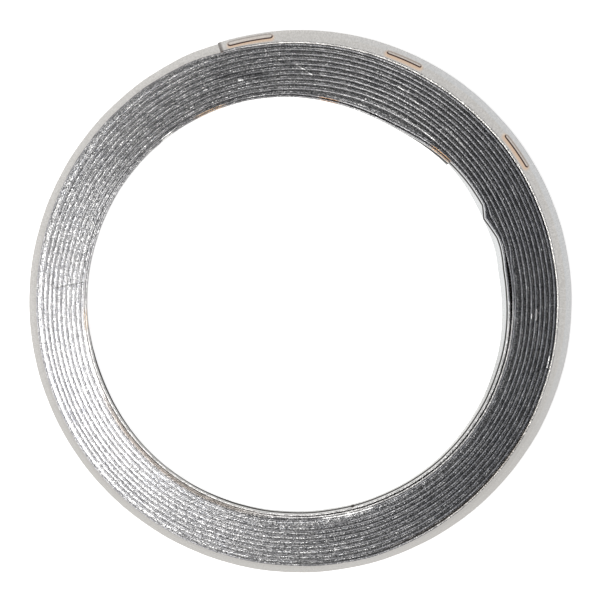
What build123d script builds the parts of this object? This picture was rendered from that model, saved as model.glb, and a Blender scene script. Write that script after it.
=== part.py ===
"""Exhaust ring gasket, spiral wound.

One V-section steel strip is wound outwards in a spiral, with one strip of soft
graphite between its turns. The crest of the V points outwards all the way through,
so every turn nests in the one inside it. The strip's first turn, and its last few
centimetres, lie on bare metal, where spot welds hold its ends. Both faces seal, and
the hole passes the pipe's bore.
"""
from build123d import *
import os
from math import atan2, cos, floor, radians, sin

# Driving dimensions, in millimetres
BORE_DIAMETER = 61.7       # across the bore where the strip starts
THICKNESS = 5.0            # from metal edge to metal edge
CREST_DEPTH = 1.6          # how far the V stands out on the outside
STRIP_GAUGE = 0.2          # sheet that the steel strip is rolled from
FILLER_GAUGE = 0.4         # graphite as wound between two turns of strip
FILLER_SET_BACK = 0.05     # graphite below the metal edges, on each face
BARE_GAP = 0.05            # air between two turns of strip with no graphite

# The winding, in turns from the strip's inner end, anticlockwise seen from above
INNER_END_ANGLE = 43.0     # degrees round from +X at which the strip starts
STRIP_TURNS = 12.18        # where the strip ends
FILLER_START = 0.93        # where the graphite starts, on the strip's outer side
FILLER_END = 10.92         # where it stops
WIDE_PITCH_START = 1.64    # where each turn begins to grow by strip and graphite
WIDE_PITCH_END = 11.22     # where it grows by the strip alone again
CHORDS_PER_TURN = 40       # straight lengths that make one turn

# The spot welds that hold each end of the strip: oblong dents in its upper flank
WELDS_PER_END = 3
FIRST_WELD_ANGLE = 5.0     # degrees from the strip's end to its first weld
WELD_SPACING = 33.0        # degrees from one weld to the next
WELD_LENGTH = 4.4
WELD_WIDTH = 0.6
WELD_DENT = 0.08           # how far the weld is pressed into the strip

# Radial widths, which cut the slanted flanks, and how far a turn grows
FLANK_ANGLE = atan2(CREST_DEPTH, THICKNESS / 2)
STRIP_WIDTH = STRIP_GAUGE / cos(FLANK_ANGLE)
FILLER_WIDTH = FILLER_GAUGE / cos(FLANK_ANGLE)
BARE_PITCH = STRIP_WIDTH + BARE_GAP
WIDE_PITCH = STRIP_WIDTH + FILLER_WIDTH

# Upper flanks of the V, by the numbers of their corners at the edge and at the crest
OUTER_FLANK = 3, 2
BORE_FLANK = 4, 5


def inner_radius(turns):
    """Radius of the strip's inner side, at its edges, so many turns from its start."""
    wide = min(max(turns - WIDE_PITCH_START, 0), WIDE_PITCH_END - WIDE_PITCH_START)
    return BORE_DIAMETER / 2 + BARE_PITCH * (turns - wide) + WIDE_PITCH * wide


# The crests are the face's outline made larger by this, which keeps each flank flat
CREST_SCALE = 1 + CREST_DEPTH / (inner_radius(STRIP_TURNS) + STRIP_WIDTH)


def v_section(turns, inner, outer, set_back):
    """Corners of an upright V with its crest outwards, so many turns from the start."""
    angle = radians(INNER_END_ANGLE + 360 * turns)
    edge_scale = 1 + (CREST_SCALE - 1) * set_back / (THICKNESS / 2)
    low, middle, high = set_back, THICKNESS / 2, THICKNESS - set_back
    outline = [
        (inner * edge_scale, low),
        (outer * edge_scale, low),
        (outer * CREST_SCALE, middle),
        (outer * edge_scale, high),
        (inner * edge_scale, high),
        (inner * CREST_SCALE, middle),
    ]
    return [(radius * cos(angle), radius * sin(angle), height) for radius, height in outline]


def strip_section(turns):
    inner = inner_radius(turns)
    return v_section(turns, inner, inner + STRIP_WIDTH, 0)


def filler_section(turns):
    """The room between one turn of strip and the next turn outwards."""
    inner = inner_radius(turns) + STRIP_WIDTH
    return v_section(turns, inner, inner_radius(turns + 1), FILLER_SET_BACK)


def flat_face(*corners):
    return make_face(Polyline(*corners, close=True))


def length_sides(section, next_section):
    """The flat sides of one straight length, from its first section to its last."""
    edges = zip(section, section[1:] + section[:1])
    next_edges = zip(next_section, next_section[1:] + next_section[:1])
    return [
        flat_face(start, end, next_end, next_start)
        for (start, end), (next_start, next_end) in zip(edges, next_edges)
    ]


def wound(section_at, start, end):
    """Strip of straight lengths, wound from one count of turns to another."""
    first, last = round(start * CHORDS_PER_TURN), round(end * CHORDS_PER_TURN)
    sections = [section_at(chord / CHORDS_PER_TURN) for chord in range(first, last + 1)]
    faces = [flat_face(*sections[0]), flat_face(*sections[-1])]
    for section, next_section in zip(sections, sections[1:]):
        faces += length_sides(section, next_section)
    return Solid(Shell(faces)).clean()


def weld_dent(turns, flank):
    """Oblong dent in the middle of a flank of one straight length of strip."""
    chord = floor(turns * CHORDS_PER_TURN)
    sections = [strip_section(end / CHORDS_PER_TURN) for end in (chord, chord + 1)]
    corners = [Vector(*section[corner]) for section in sections for corner in flank]
    along = corners[2] - corners[0]
    across = corners[1] - corners[0]
    middle = sum(corners, Vector()) / len(corners)
    surface = Plane(middle, x_dir=along, z_dir=along.cross(across))
    return extrude(surface * SlotOverall(WELD_LENGTH, WELD_WIDTH), WELD_DENT, both=True)

def weld_dents():
    """Dents in the bore's wall after the strip's start, and in the rim before its end."""
    first, spacing = FIRST_WELD_ANGLE / 360, WELD_SPACING / 360
    places = [first + spacing * weld for weld in range(WELDS_PER_END)]
    bore = [weld_dent(place, BORE_FLANK) for place in places]
    rim = [weld_dent(STRIP_TURNS - place, OUTER_FLANK) for place in places]
    return bore + rim

def main():
    os.makedirs("parts", exist_ok=True)
    nodes = {
        "metal_strip": wound(strip_section, 0, STRIP_TURNS) - weld_dents(),
        "graphite_filler": wound(filler_section, FILLER_START, FILLER_END),
    }
    middle = nodes["metal_strip"].bounding_box().center()
    for name, shape in nodes.items():
        export_step(shape.translate((-middle.X, -middle.Y, 0)), f"parts/{name}.step")


main()
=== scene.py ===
import math

import bpy
import numpy as np
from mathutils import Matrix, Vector


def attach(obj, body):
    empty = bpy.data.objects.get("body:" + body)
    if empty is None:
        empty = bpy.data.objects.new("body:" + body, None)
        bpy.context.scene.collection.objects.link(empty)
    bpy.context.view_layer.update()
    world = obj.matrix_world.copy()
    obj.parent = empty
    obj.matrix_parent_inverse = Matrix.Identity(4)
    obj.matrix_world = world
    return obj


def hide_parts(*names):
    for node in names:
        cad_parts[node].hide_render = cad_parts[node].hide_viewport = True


# Exhaust ring gasket, spiral wound, on a white floor, seen from straight above

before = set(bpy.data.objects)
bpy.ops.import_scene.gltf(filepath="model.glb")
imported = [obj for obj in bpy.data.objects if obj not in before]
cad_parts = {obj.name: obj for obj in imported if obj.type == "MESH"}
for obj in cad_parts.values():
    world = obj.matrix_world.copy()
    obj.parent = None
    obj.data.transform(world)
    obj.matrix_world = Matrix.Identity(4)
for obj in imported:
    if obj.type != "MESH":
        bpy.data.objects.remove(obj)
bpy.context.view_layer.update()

# Sizes are in millimetres, angles in degrees, and places along the winding in turns
MM = 0.001
HEIGHT = 5.0
BORE_RADIUS = 30.85
CREST_RADIUS = 40.0        # from the crest's middle, which is the origin
FACE_RADIUS = 38.45        # outside of the wound face, from its own middle
STRIP_WIDTH = 0.237        # the strip's radial width, cut by its slanted flanks
BARE_PITCH = 0.287         # how far a turn grows without graphite
WIDE_PITCH = 0.712         # and with it
WIDE_START = 1.64          # where the wide pitch starts and ends
WIDE_END = 11.18
PRESSED = 0.973            # the wide turns grow by this share of their pitch
START_ANGLE = 43.0
STRIP_TURNS = 12.18
FILLER_START = 0.925
FILLER_END = 10.92
RIM_OFFSET = 0.575         # how far the wound face lies off the crest's middle
RIM_ANGLE = 214.0
CREST_BAND = 0.97          # the steep outer part of the flank, the same all round
LEDGE_SLOPE = 1.05         # height lost per millimetre over its flatter inner part
CHAMFER = 0.04             # width of the worn corners of the strip's edges
EDGE_TILT = 0.004          # how much lower its upper edge is on the inner side
KINK_ANGLE = 24.2
MM_PER_DEGREE = 0.59       # about the length of one degree on the wound face


# Shapes of the winding

def turned(angle, middle):
    """Degrees from a middle angle, between -180 and 180."""
    return (angle - middle + 180.0) % 360.0 - 180.0


def hump(angle, middle, before, after):
    """A smooth hump of height 1 round one angle, with its own width on each side."""
    off = turned(angle, middle)
    width = np.where(off < 0, before, after)
    return np.exp(-0.5 * (off / width) ** 2)


def step(value, low, high):
    """A smooth rise from 0 to 1 between two values."""
    x = np.clip((value - low) / (high - low), 0.0, 1.0)
    return x * x * (3 - 2 * x)


def rim_shift(angle):
    """How far the wound face stands out because it lies off the crest's middle."""
    return RIM_OFFSET * np.cos(np.radians(angle - RIM_ANGLE))


def outer_swell(angle):
    """Bulges and hollows of the outermost turns."""
    return (
        0.34 * hump(angle, 124, 16, 22)
        - 0.16 * hump(angle, 58, 14, 12)
        + 0.34 * hump(angle, 286, 10, 16)
        + 0.10 * hump(angle, 325, 15, 15)
        - 0.20 * hump(angle, 205, 25, 25)
    )


def wave(angle, seed, waves, size):
    """Slow random waviness that closes on itself."""
    rng = np.random.default_rng(seed)
    total = np.zeros_like(angle, dtype=float)
    for count in waves:
        total += rng.normal() * np.cos(np.radians(angle * count) + rng.uniform(0, 6.283))
    return total * size / math.sqrt(len(waves))


def top_radius(turns):
    """Inner side of the strip at its upper edge, from the crest's middle."""
    angle = START_ANGLE + 360.0 * turns
    wide = np.clip(turns - WIDE_START, 0.0, WIDE_END - WIDE_START) * PRESSED
    radius = BORE_RADIUS + BARE_PITCH * np.minimum(turns, WIDE_START) + WIDE_PITCH * wide
    # the last turn lies on the one before it, with no graphite between them
    radius = radius + BARE_PITCH * step(turns, 11.165, 11.20)

    # how much of each unevenness a turn shares, from the bore outwards
    inner = 1.0 / (1.0 + np.exp((turns - 1.62) / 0.28))
    innermost = np.exp(-turns / 2)
    fade = np.clip(1 - turns / 9.0, 0.0, 1.0)
    outer = 1.0 / (1.0 + np.exp((9.3 - turns) / 0.7))
    shift = (
        rim_shift(angle)
        + outer_swell(angle) * outer
        - 1.00 * hump(angle, 64, 11, 20) * inner
        - 0.34 * hump(angle, 50, 18, 36) * fade
        + 0.40 * hump(angle, 318, 22, 35) * fade
        + 0.14 * hump(angle, 140, 16, 16) * innermost
        - 0.08 * hump(angle, 225, 25, 25) * innermost
    )

    # the first turn stands off the second at the right, with a dark gap between them,
    # and the third lies close to the second
    first = step(turns, 0.58, 0.70) * (1 - step(turns, 0.903, 0.925))
    third = step(turns, 2.58, 2.66) * (1 - step(turns, 2.905, 2.925))
    shift = shift - (0.12 + 0.16 * hump(angle, 5, 6, 6)) * first - 0.36 * third
    ripple = wave(angle, 5, range(3, 40), 0.014)
    ripple = ripple + wave(angle + 140 * turns, 6, range(20, 90), 0.006)
    return radius + shift + ripple


def kink(turns):
    """The innermost turns buckle into the bore at one place, at their upper edge only."""
    angle = START_ANGLE + 360.0 * turns
    off = turned(angle, KINK_ANGLE)
    rise = np.clip(1 - np.abs(off) / np.where(off < 0, 6.5, 3.6), 0, 1)
    first = 1 - step(turns, 1.2, 1.6)
    both = 1 - step(turns, 2.1, 2.5)
    return -(0.42 * first + 0.30 * both) * rise


def crest_depth(angle):
    """How far the crest stands out past the wound face."""
    return CREST_RADIUS - (FACE_RADIUS + rim_shift(angle) + outer_swell(angle))


def foot_lean(angle):
    """How far the lower edge leans into the bore."""
    return (
        1.00 * hump(angle, 22, 38, 17)
        + 0.28 * hump(angle, 318, 24, 30)
        + 0.36 * hump(angle, 268, 22, 25)
        + 0.25 * hump(angle, 200, 8, 16)
        - 0.05
    )


def flank(height, angle, turns):
    """Radial offset of the flank from the upper edge, at one height."""
    deep = crest_depth(angle)
    ledge = np.maximum(deep - CREST_BAND, 0.02)
    lean = foot_lean(angle)
    ledge_height = HEIGHT - LEDGE_SLOPE * ledge
    upper = np.where(
        height > ledge_height,
        ledge * (HEIGHT - height) / np.maximum(HEIGHT - ledge_height, 0.001),
        ledge + (deep - ledge) * (ledge_height - height) / (ledge_height - HEIGHT / 2),
    )
    lower = -lean + (deep + lean) * height / (HEIGHT / 2)
    pull = kink(turns) * np.clip(height / HEIGHT, 0, 1) ** 2
    return np.where(height > HEIGHT / 2, upper, lower) + pull


def crest_round(height, depth):
    """Rounds the crest: how far the sharp V is cut back near the middle height."""
    return depth * np.clip(1 - np.abs(height - HEIGHT / 2) / 0.45, 0, 1) ** 2


def section_turns(start, end):
    """Turn counts of the sections: closer together at the kink and the strip's outer end."""
    turns = [start]
    while turns[-1] < end - 1e-6:
        angle = (START_ANGLE + 360.0 * turns[-1]) % 360.0
        at_kink = turns[-1] < 2.2 and 12 < angle < 32
        at_end = turns[-1] > 11.94 or turns[-1] > 11.15 and 95 < angle < 112
        turns.append(turns[-1] + (0.4 if at_kink or at_end else 1.0) / 360.0)
    turns[-1] = end
    return np.array(turns)


def swept(name, rings, **kept):
    """A closed tube of quads through rings of points, with both ends filled.

    Each point keeps the values given for the shading, such as its turn count.
    """
    count, around, _ = rings.shape
    index = np.arange(count * around).reshape(count, around)
    following = np.roll(index, -1, axis=1)
    quads = np.stack([index[:-1], index[1:], following[1:], following[:-1]], axis=-1)
    faces = quads.reshape(-1, 4).tolist() + [index[0].tolist(), index[-1][::-1].tolist()]
    mesh = bpy.data.meshes.new(name)
    mesh.from_pydata((rings.reshape(-1, 3) * MM).tolist(), [], faces)
    for title, values in kept.items():
        values = np.broadcast_to(values, (count, around)).astype(np.float32).ravel()
        mesh.attributes.new(title, "FLOAT", "POINT").data.foreach_set("value", values)
    piece = bpy.data.objects.new(name, mesh)
    bpy.context.collection.objects.link(piece)
    return piece


def sections(ring, angle):
    """Points of all sections, and their radii, from one ring of radii and heights."""
    radius = np.stack([r for r, _ in ring], axis=1)
    height = np.stack([h for _, h in ring], axis=1)
    turn = np.radians(angle)[:, None]
    points = np.stack([radius * np.cos(turn), radius * np.sin(turn), height], axis=-1)
    return points, radius


def strip_rings(turns):
    """Points of the strip, and how far each stands in from the upper edge."""
    angle = START_ANGLE + 360.0 * turns
    top = top_radius(turns)
    lift = wave(angle + 77 * turns, 9, range(10, 70), 0.012)
    heights = [4.994, 4.3, 3.4, 2.85, 2.5, 2.15, 1.2, 0.035]
    ring = []
    for height in heights:
        level = np.full_like(turns, height)
        if height == heights[0]:
            level = level - EDGE_TILT
        radius = top + flank(level, angle, turns) - crest_round(level, 0.05)
        ring.append((radius, level + lift * height / HEIGHT))
    ground = np.zeros_like(turns)
    bottom = top + flank(ground, angle, turns)
    ring.append((bottom + CHAMFER, ground))
    ring.append((bottom + STRIP_WIDTH - CHAMFER, ground))
    for height in reversed(heights):
        level = np.full_like(turns, height)
        radius = top + STRIP_WIDTH + flank(level, angle, turns) - crest_round(level, 0.03)
        ring.append((radius, level + lift * height / HEIGHT))
    edge = top + kink(turns)
    ring.append((edge + STRIP_WIDTH - CHAMFER, HEIGHT + lift))
    ring.append((edge + CHAMFER, HEIGHT + lift - EDGE_TILT))
    points, radius = sections(ring, angle)
    return points, edge[:, None] - radius


def filler_rings(turns):
    """Points of the graphite, whose top slopes down a little towards the outside."""
    angle = START_ANGLE + 360.0 * turns
    inner = top_radius(turns) + STRIP_WIDTH
    outer = top_radius(turns + 1)
    heights = [3.9, 2.95, 2.5, 2.05, 1.1]
    low = 0.045 + np.abs(wave(angle + 31 * turns, 12, range(12, 80), 0.015))
    ring = []
    for height in [4.94] + heights + [0.07]:
        level = np.full_like(turns, height)
        ring.append((inner + flank(level, angle, turns) - crest_round(level, 0.04), level))
    for height in [0.12] + heights[::-1]:
        level = np.full_like(turns, height)
        ring.append((outer + flank(level, angle, turns + 1) - crest_round(level, 0.04), level))
    for share, drop in ((1.0, 0.09), (0.66, 0.055), (0.33, 0.02)):
        level = HEIGHT - low - drop
        inner_side = inner + flank(level, angle, turns)
        outer_side = outer + flank(level, angle, turns + 1)
        ring.append((inner_side + (outer_side - inner_side) * share, level))
    return sections(ring, angle)[0]


# Place of each point of a section, from 0 on the inner side to 1 on the outer side
STRIP_ACROSS = [0] * 8 + [0.17, 0.83] + [1] * 8 + [0.83, 0.17]
FILLER_ACROSS = [0] * 7 + [1] * 7 + [0.66, 0.33]


# Materials

class Graph:
    """Short names for the node tree of one material."""

    def __init__(self, name):
        self.material = bpy.data.materials.new(name)
        self.material.use_nodes = True
        self.tree = self.material.node_tree
        self.shader = self.tree.nodes["Principled BSDF"]
        metres = self.node("ShaderNodeTexCoord").outputs["Object"]
        split = self.node("ShaderNodeSeparateXYZ")
        self.join(metres, split.inputs[0])
        x, y, z = (self.math("MULTIPLY", axis, 1 / MM) for axis in split.outputs)
        self.z = z
        self.r = self.hypotenuse(x, y)
        self.cos = self.math("DIVIDE", x, self.r)
        self.sin = self.math("DIVIDE", y, self.r)
        degrees = self.math("DEGREES", self.math("ARCTAN2", y, x))
        self.angle = self.math("MODULO", self.math("ADD", degrees, 360.0), 360.0)
        combined = self.node("ShaderNodeCombineXYZ")
        for value, socket in zip((x, y, z), combined.inputs):
            self.join(value, socket)
        self.point = combined.outputs[0]
        from_rim = self.math("RADIANS", self.math("SUBTRACT", self.angle, RIM_ANGLE))
        shift = self.math("COSINE", from_rim)
        self.across = self.attribute("across")
        self.turns = self.attribute("turns")
        self.face_r = self.math("SUBTRACT", self.r, self.math("MULTIPLY", shift, RIM_OFFSET))

    def node(self, kind):
        return self.tree.nodes.new(kind)

    def attribute(self, title):
        node = self.node("ShaderNodeAttribute")
        node.attribute_name = title
        return node.outputs["Fac"]

    def join(self, value, socket):
        if isinstance(value, (int, float)):
            socket.default_value = value
        else:
            self.tree.links.new(value, socket)

    def math(self, operation, first, second=None, third=None):
        node = self.node("ShaderNodeMath")
        node.operation = operation
        for value, socket in zip((first, second, third), node.inputs):
            if value is not None:
                self.join(value, socket)
        return node.outputs[0]

    def product(self, *values):
        total = values[0]
        for value in values[1:]:
            total = self.math("MULTIPLY", total, value)
        return total

    def hypotenuse(self, first, second):
        squares = (self.math("MULTIPLY", side, side) for side in (first, second))
        return self.math("SQRT", self.math("ADD", *squares))

    def ramp(self, value, low, high, to_low=0.0, to_high=1.0):
        """A smooth change from one value to another while the input goes from low to high."""
        node = self.node("ShaderNodeMapRange")
        node.interpolation_type = "SMOOTHSTEP"
        for entry, socket in zip((value, low, high, to_low, to_high), node.inputs):
            self.join(entry, socket)
        return node.outputs[0]

    def between(self, value, low, high, soft):
        """1 between two values, with soft ends."""
        rise = self.ramp(value, low - soft, low + soft)
        fall = self.ramp(value, high - soft, high + soft, 1.0, 0.0)
        return self.math("MULTIPLY", rise, fall)

    def round_noise(self, across, along, detail=2.0, shift=0.0):
        """Noise round the ring: so many features per millimetre across and per radian along."""
        vector = self.node("ShaderNodeCombineXYZ")
        self.join(self.math("MULTIPLY_ADD", self.face_r, across, shift), vector.inputs[0])
        self.join(self.math("MULTIPLY", self.cos, along), vector.inputs[1])
        self.join(self.math("MULTIPLY", self.sin, along), vector.inputs[2])
        node = self.node("ShaderNodeTexNoise")
        self.join(vector.outputs[0], node.inputs["Vector"])
        node.inputs["Scale"].default_value = 1.0
        node.inputs["Detail"].default_value = detail
        return node.outputs["Fac"]

    def noise(self, scale, detail=2.0):
        node = self.node("ShaderNodeTexNoise")
        self.join(self.point, node.inputs["Vector"])
        node.inputs["Scale"].default_value = scale
        node.inputs["Detail"].default_value = detail
        return node.outputs["Fac"]

    def flakes(self, size):
        """Random colour of small flakes."""
        node = self.node("ShaderNodeTexVoronoi")
        self.join(self.point, node.inputs["Vector"])
        node.inputs["Scale"].default_value = 1.0 / size
        return node.outputs["Color"]

    def mix(self, share, first, second):
        node = self.node("ShaderNodeMix")
        node.data_type = "RGBA"
        self.join(share, node.inputs[0])
        for value, socket in ((first, node.inputs[6]), (second, node.inputs[7])):
            if isinstance(value, tuple):
                socket.default_value = (*value, 1.0)
            else:
                self.join(value, socket)
        return node.outputs[2]

    def flaky_normal(self, size, tilt, bump_height, strength, distance):
        """The surface's normal, bumped by a height and tipped at random flake by flake."""
        bump = self.node("ShaderNodeBump")
        self.join(strength, bump.inputs["Strength"])
        bump.inputs["Distance"].default_value = distance
        self.join(bump_height, bump.inputs["Height"])
        centred = self.node("ShaderNodeVectorMath")
        centred.operation = "SUBTRACT"
        self.join(self.flakes(size), centred.inputs[0])
        centred.inputs[1].default_value = (0.5, 0.5, 0.5)
        scaled = self.node("ShaderNodeVectorMath")
        scaled.operation = "SCALE"
        self.join(centred.outputs[0], scaled.inputs[0])
        self.join(tilt, scaled.inputs["Scale"])
        total = self.node("ShaderNodeVectorMath")
        total.operation = "ADD"
        self.join(bump.outputs[0], total.inputs[0])
        self.join(scaled.outputs[0], total.inputs[1])
        unit = self.node("ShaderNodeVectorMath")
        unit.operation = "NORMALIZE"
        self.join(total.outputs[0], unit.inputs[0])
        return unit.outputs[0]


def reach(g, radius, start, end):
    """Distance from a line over the ring, given by the angle and radius of its ends."""
    along, away = (end[0] - start[0]) * MM_PER_DEGREE, end[1] - start[1]
    squared = along * along + away * away
    u = g.math("MULTIPLY", g.math("SUBTRACT", g.angle, start[0]), MM_PER_DEGREE)
    v = g.math("SUBTRACT", radius, start[1])
    share = g.math("MULTIPLY_ADD", u, along / squared, g.math("MULTIPLY", v, away / squared))
    share = g.math("MINIMUM", g.math("MAXIMUM", share, 0.0), 1.0)
    u = g.math("SUBTRACT", u, g.math("MULTIPLY", share, along))
    v = g.math("SUBTRACT", v, g.math("MULTIPLY", share, away))
    return g.hypotenuse(u, v)


# Marks seen on the face: the angle and radius of each end, and half the width
LIGHT_MARKS_AND_HIGHLIGHT = (
    ((87, 33.6), (91, 35.1), 0.12),
    ((57, 33.9), (66, 35.3), 0.10),
    ((104.6, 33.7), (105.6, 34.0), 0.20),
    ((345, 37.9), (347.5, 37.9), 0.12),
    ((355.5, 35.2), (358, 35.2), 0.10),
    ((355.7, 34.5), (356.8, 34.5), 0.10),
    ((276, 31.7), (289, 31.9), 0.22),
    ((188, 31.5), (206, 31.45), 0.13),
    ((50, 31.35), (67, 31.55), 0.09),
    ((10.5, 31.5), (16, 31.45), 0.14),
    ((43, 33.7), (50, 33.75), 0.07),
    # painted highlight: the bright line along the outer turns, ending at 88 degrees
    ((50, 37.52), (88, 37.55), 0.065),
)
DARK_MARKS = (
    ((175, 31.5), (177, 35.8), 0.17),
    ((205, 37.0), (209, 37.0), 0.12),
    ((228, 36.4), (232, 37.0), 0.12),
    ((242, 37.7), (249, 38.3), 0.12),
    ((100, 34.0), (111, 35.4), 0.55),
    ((148, 37.35), (162, 37.2), 0.09),
    ((168, 37.2), (173, 37.2), 0.11),
    ((165, 36.6), (171, 36.5), 0.09),
    ((172, 36.2), (176, 36.1), 0.09),
)

# Radii and angles between which a brown tint lies along the face's edges
BROWN_RIMS = ((31.2, 31.8, 205, 258), (38.2, 38.5, 292, 335))

# Spot welds on the outermost turn: first and last angle, radius and half their width
RIM_WELDS = ((96.6, 105.2, 39.3, 0.30), (63.2, 70.4, 38.85, 0.20), (31.0, 38.6, 38.85, 0.20))

# Heat tints at the welds in the bore: middle angle, half their length and colour
BORE_TINTS = (
    (46.5, 3.2, (0.42, 0.23, 0.09)),
    (82.0, 2.6, (0.34, 0.18, 0.08)),
    (115.5, 4.0, (0.42, 0.27, 0.15)),
    (129.0, 1.8, (0.95, 0.95, 0.93)),
    (185.0, 2.6, (0.60, 0.45, 0.30)),
)


def face_marks(g, base):
    """Scratches, flecks, a painted highlight line, dark nicks and brown rims on the upper face.
    """
    upper = g.ramp(g.z, 4.6, 4.75)
    for marks, colour, depth in (
        (DARK_MARKS, (0.07, 0.07, 0.075), 0.6),
        (LIGHT_MARKS_AND_HIGHLIGHT, (0.85, 0.85, 0.84), 0.8),
    ):
        for start, end, half in marks:
            near = g.ramp(reach(g, g.face_r, start, end), half * 0.4, half, depth, 0.0)
            base = g.mix(g.product(upper, near), base, colour)
    for low, high, first, last in BROWN_RIMS:
        across = g.between(g.face_r, low, high, 0.15)
        along = g.between(g.angle, first, last, 10)
        base = g.mix(g.product(across, along, upper, 0.75), base, (0.11, 0.088, 0.07))
    return base


def weld_marks(g, base):
    """Burnt outlines and tan tints of the welds on the outermost turn, and its cut end."""
    upper_flank = g.between(g.z, 2.6, 4.85, 0.05)
    outside = g.product(g.ramp(g.across, 0.7, 0.9), upper_flank, g.ramp(g.turns, 11.0, 11.1))
    for low, high, radius, half in RIM_WELDS:
        near = reach(g, g.r, (low, radius), (high, radius))
        below = reach(g, g.r, (low, radius - 0.3), (high, radius - 0.3))
        tint = g.ramp(below, 0.20, 0.80, 0.7, 0.0)
        past_outline = g.ramp(near, half - 0.1, half + 0.05, 0.25, 1.0)
        outline = g.between(near, half - 0.11, half + 0.11, 0.05)
        inner_side = g.ramp(g.r, radius + 0.1, radius - 0.1, 0.40, 1.0)
        base = g.mix(g.product(outside, tint, past_outline), base, (0.80, 0.55, 0.36))
        base = g.mix(g.product(outside, outline, inner_side), base, (0.055, 0.025, 0.02))
    at_end = g.ramp(g.turns, 12.1772, 12.1790, 0.0, 0.75)
    cut_end = g.product(at_end, g.ramp(g.z, 2.4, 2.6))
    return g.mix(cut_end, base, (0.10, 0.08, 0.07))


def heat_tints(g, base):
    """Tints of the welds and bare places on the inside of the innermost turns."""
    inside = g.product(g.ramp(g.across, 0.6, 0.4), g.ramp(g.turns, 1.5, 1.4))
    high = g.ramp(g.z, 3.2, 4.2)
    for middle, half, colour in BORE_TINTS:
        near = g.between(g.angle, middle - half, middle + half, half * 0.4)
        base = g.mix(g.product(inside, near, high, 0.8), base, colour)
    return base


def specks(g, base):
    """Bright and dark flecks of single flakes."""
    split = g.node("ShaderNodeSeparateColor")
    g.join(g.flakes(0.14), split.inputs[0])
    base = g.mix(g.ramp(split.outputs[0], 0.78, 0.97, 0.0, 0.62), base, (0.74, 0.735, 0.72))
    return g.mix(g.ramp(split.outputs[1], 0.80, 0.97, 0.0, 0.50), base, (0.07, 0.07, 0.075))


def shaded_side(g, base, share):
    """Painted shade: darker and bluish on the side of the ring round 350 degrees, away from the
    light.
    """
    side = g.math("MULTIPLY_ADD", g.sin, -0.2, g.cos)
    side_shade = g.product(g.ramp(side, 0.1, 0.9, 0.0, 0.42), share)
    return g.mix(side_shade, base, (0.03, 0.035, 0.045))


def graphite_material():
    """Burnished flakes of graphite, in patches of two tones."""
    g = Graph("graphite")
    grain = g.noise(8.0, 4.0)
    streak = g.round_noise(5.0, 120.0)
    patch = g.noise(0.35, 2.0)
    tone = g.math("ADD", g.math("MULTIPLY", grain, 0.6), g.math("MULTIPLY", streak, 0.4))
    dark = g.mix(g.ramp(patch, 0.35, 0.65), (0.12, 0.127, 0.145), (0.16, 0.164, 0.17))
    base = g.mix(g.ramp(tone, 0.35, 0.65), dark, (0.40, 0.40, 0.40))
    # painted shade darkens the graphite on the side of the ring away from the light
    base = face_marks(g, shaded_side(g, specks(g, base), 1.0))
    g.join(base, g.shader.inputs["Base Color"])
    g.shader.inputs["Metallic"].default_value = 0.92
    g.join(g.ramp(grain, 0.3, 0.7, 0.26, 0.34), g.shader.inputs["Roughness"])
    g.join(g.flaky_normal(0.10, 0.15, grain, 0.30, 0.00002), g.shader.inputs["Normal"])
    return g.material


def covered(g):
    """Where graphite hides the strip's edges, and where they lie bare, from 0 to 1."""
    hidden = g.math("MAXIMUM", g.between(g.angle, 84, 145, 18), g.between(g.angle, 256, 284, 12))
    rim = g.product(g.ramp(g.turns, 11.66, 11.76), g.ramp(g.turns, 12.14, 12.18, 1.0, 0.3))
    bore = g.product(g.ramp(g.turns, 1.95, 2.0, 0.55, 0.0), g.between(g.angle, 180, 359, 10))
    bare = g.math("MAXIMUM", rim, bore)
    return g.product(hidden, g.math("SUBTRACT", 1.0, bare)), bare


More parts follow.
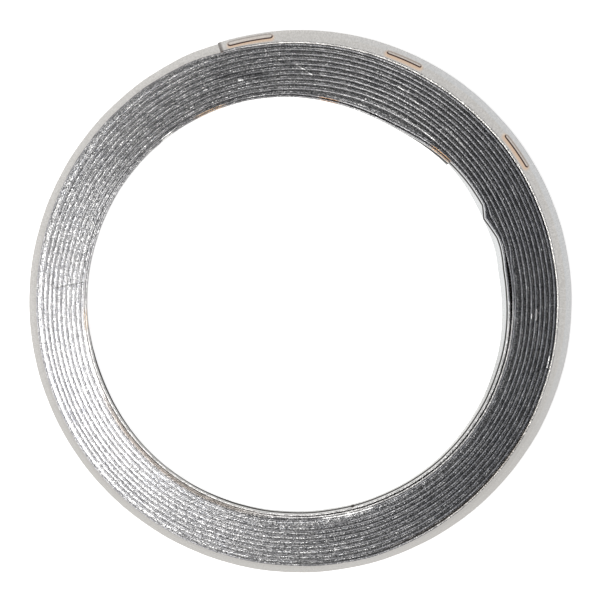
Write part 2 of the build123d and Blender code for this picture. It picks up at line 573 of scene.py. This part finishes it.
def steel_material():
    """Bright rolled steel, with graphite smeared over the strip's edges, and painted shade at
    their corners, on one side of the ring and in the bore's recess.
    """
    g = Graph("strip steel")
    streak = g.round_noise(3.0, 160.0)
    grain = g.noise(6.0, 3.0)
    on_edge = g.ramp(g.z, 4.90, 4.95)
    hidden, bare = covered(g)

    # graphite smeared over the edges in ragged patches, with painted shade darkening them from
    # both sides, at their corners
    off_centre = g.math("ABSOLUTE", g.math("SUBTRACT", g.across, 0.5))
    ragged = g.math("MULTIPLY_ADD", g.round_noise(2.0, 110.0, 3.0, 40.0), 0.8, off_centre)
    ragged = g.math("MULTIPLY_ADD", grain, 0.7, g.math("SUBTRACT", ragged, 0.35))
    outwards = g.ramp(g.turns, 4.5, 7.0, 0.05, 0.30)
    ragged = g.math("ADD", ragged, g.math("MAXIMUM", g.product(hidden, 0.50), outwards))
    ragged = g.math("SUBTRACT", ragged, g.product(bare, 0.5))
    smear_and_corner_shade = g.product(on_edge, g.ramp(ragged, 0.48, 0.85))
    smear_and_shade_colour = g.mix(hidden, (0.25, 0.25, 0.26), (0.15, 0.15, 0.155))

    # the flanks: warm, cooler near the crest at the right, darker at the bottom
    fine = g.ramp(streak, 0.35, 0.65)
    warm = g.mix(fine, (0.58, 0.565, 0.54), (0.68, 0.665, 0.64))
    cool = g.mix(fine, (0.61, 0.62, 0.625), (0.69, 0.695, 0.695))
    coolness = g.product(g.ramp(g.r, 38.9, 39.2), g.ramp(g.cos, -0.1, 0.7))
    wall = g.mix(coolness, warm, cool)
    wall = g.mix(g.ramp(g.sin, 0.1, -0.8), wall, (0.57, 0.555, 0.53))
    edges = g.mix(bare, (0.40, 0.40, 0.405), (0.62, 0.61, 0.59))
    base = g.mix(smear_and_corner_shade, g.mix(on_edge, wall, edges), smear_and_shade_colour)

    # the lower half of the bore's wall, with a dirty spot, and painted shade as a dark line in
    # the recess at its top
    bore_wall = g.product(g.ramp(g.across, 0.2, 0.1), g.ramp(g.z, 2.6, 2.4))
    base = g.mix(bore_wall, base, (0.88, 0.885, 0.87))
    spot = g.ramp(reach(g, g.face_r, (284.1, 31.0), (284.5, 31.0)), 0.12, 0.24, 1.0, 0.0)
    base = g.mix(g.product(bore_wall, spot), base, (0.05, 0.04, 0.03))
    # painted shade: darkens the wall where it shows just inside the strip's upper edge
    recess_shade = g.between(g.attribute("inwards"), -0.02, 0.19, 0.05)
    base = g.mix(g.product(bore_wall, recess_shade, 0.95), base, (0.03, 0.024, 0.02))

    base = g.mix(g.product(on_edge, 0.8), base, specks(g, base))
    # painted shade on the strip's edges on the side away from the light, less where they lie
    # bare
    base = shaded_side(g, base, g.product(on_edge, 1.5, g.math("SUBTRACT", 1.0, bare)))
    base = face_marks(g, weld_marks(g, heat_tints(g, base)))
    g.join(base, g.shader.inputs["Base Color"])
    g.shader.inputs["Metallic"].default_value = 1.0
    rough = g.math("ADD", g.ramp(streak, 0.3, 0.7, 0.20, 0.28), g.product(on_edge, 0.15))
    g.join(rough, g.shader.inputs["Roughness"])
    normal = g.flaky_normal(0.12, g.product(on_edge, 0.14), grain, 0.2, 0.00002)
    g.join(normal, g.shader.inputs["Normal"])
    return g.material


# The two pieces

turns = section_turns(0.0, STRIP_TURNS)
rings, inwards = strip_rings(turns)
strip = swept("strip", rings, across=STRIP_ACROSS, turns=turns[:, None], inwards=inwards)
turns = section_turns(FILLER_START, FILLER_END)
filler = swept("filler", filler_rings(turns), across=FILLER_ACROSS, turns=turns[:, None])

for piece, node, slot_name, material in (
    (strip, "metal_strip", "strip_steel", steel_material()),
    (filler, "graphite_filler", "filler_graphite", graphite_material()),
):
    piece.data.materials.append(material)
    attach(piece, "root")
    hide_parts(node)


# Floor, light and camera, in metres

def floor_material():
    """Pale matt floor that looks white to the camera and grey in what shines."""
    material = bpy.data.materials.new("floor")
    material.use_nodes = True
    tree = material.node_tree
    tree.nodes.clear()
    path = tree.nodes.new("ShaderNodeLightPath")
    shone = tree.nodes.new("ShaderNodeMath")
    shone.operation = "MULTIPLY"
    tree.links.new(path.outputs["Is Glossy Ray"], shone.inputs[0])
    shone.inputs[1].default_value = 0.30
    glow = tree.nodes.new("ShaderNodeMath")
    glow.operation = "MULTIPLY_ADD"
    tree.links.new(path.outputs["Is Camera Ray"], glow.inputs[0])
    glow.inputs[1].default_value = 0.80
    tree.links.new(shone.outputs[0], glow.inputs[2])
    emission = tree.nodes.new("ShaderNodeEmission")
    tree.links.new(glow.outputs[0], emission.inputs["Strength"])
    matt = tree.nodes.new("ShaderNodeBsdfDiffuse")
    matt.inputs["Color"].default_value = (0.85, 0.85, 0.85, 1)
    both = tree.nodes.new("ShaderNodeAddShader")
    tree.links.new(matt.outputs[0], both.inputs[0])
    tree.links.new(emission.outputs[0], both.inputs[1])
    output = tree.nodes.new("ShaderNodeOutputMaterial")
    tree.links.new(both.outputs[0], output.inputs["Surface"])
    return material


FLOOR_HALF = 2.0
FLOOR_GAP = 0.00005
floor_mesh = bpy.data.meshes.new("floor")
corners = [(x * FLOOR_HALF, y * FLOOR_HALF, 0) for x, y in ((-1, -1), (1, -1), (1, 1), (-1, 1))]
floor_mesh.from_pydata(corners, [], [(0, 1, 2, 3)])
floor = bpy.data.objects.new("floor", floor_mesh)
floor.location = (0, 0, -FLOOR_GAP)
bpy.context.collection.objects.link(floor)
floor_mesh.materials.append(floor_material())


def soft_light(name, place, size, power):
    """A soft rectangular light that faces the ring."""
    data = bpy.data.lights.new(name, "AREA")
    data.shape = "RECTANGLE"
    data.size, data.size_y = size
    data.energy = power
    data.color = (1.0, 0.985, 0.975)
    light = bpy.data.objects.new(name, data)
    light.location = place
    light.rotation_mode = "QUATERNION"
    light.rotation_quaternion = (-Vector(place)).to_track_quat("-Z", "Y")
    bpy.context.collection.objects.link(light)


soft_light("left light", (-0.25, -0.11, 0.75), (0.22, 0.42), 3.75)


def sky():
    """Soft grey light from all round; what shines shows a bright horizon and a darker top."""
    world = bpy.data.worlds.new("world")
    world.use_nodes = True
    tree = world.node_tree
    background = tree.nodes["Background"]
    background.inputs["Color"].default_value = (0.97, 0.98, 1.0, 1)
    path = tree.nodes.new("ShaderNodeLightPath")
    direction = tree.nodes.new("ShaderNodeTexCoord")
    split = tree.nodes.new("ShaderNodeSeparateXYZ")
    tree.links.new(direction.outputs["Generated"], split.inputs[0])
    height = tree.nodes.new("ShaderNodeMapRange")
    height.interpolation_type = "SMOOTHSTEP"
    tree.links.new(split.outputs["Z"], height.inputs[0])
    for socket, value in zip(height.inputs[1:5], (0.30, 0.80, 0.98, 0.02)):
        socket.default_value = value
    strength = tree.nodes.new("ShaderNodeMix")
    tree.links.new(path.outputs["Is Glossy Ray"], strength.inputs[0])
    strength.inputs[2].default_value = 0.20
    tree.links.new(height.outputs[0], strength.inputs[3])
    tree.links.new(strength.outputs[0], background.inputs["Strength"])
    return world


bpy.context.scene.world = sky()

# One metre above the crest, where the picture is this wide
SENSOR = 36.0
VIEW_WIDTH = 0.0884
camera_data = bpy.data.cameras.new("camera")
camera_data.sensor_width = SENSOR
camera_data.lens = SENSOR / VIEW_WIDTH
camera = bpy.data.objects.new("camera", camera_data)
camera.location = (-0.00007, 0.00019, 1.0025)
bpy.context.collection.objects.link(camera)
bpy.context.scene.camera = camera

bpy.context.scene.view_settings.view_transform = "Standard"
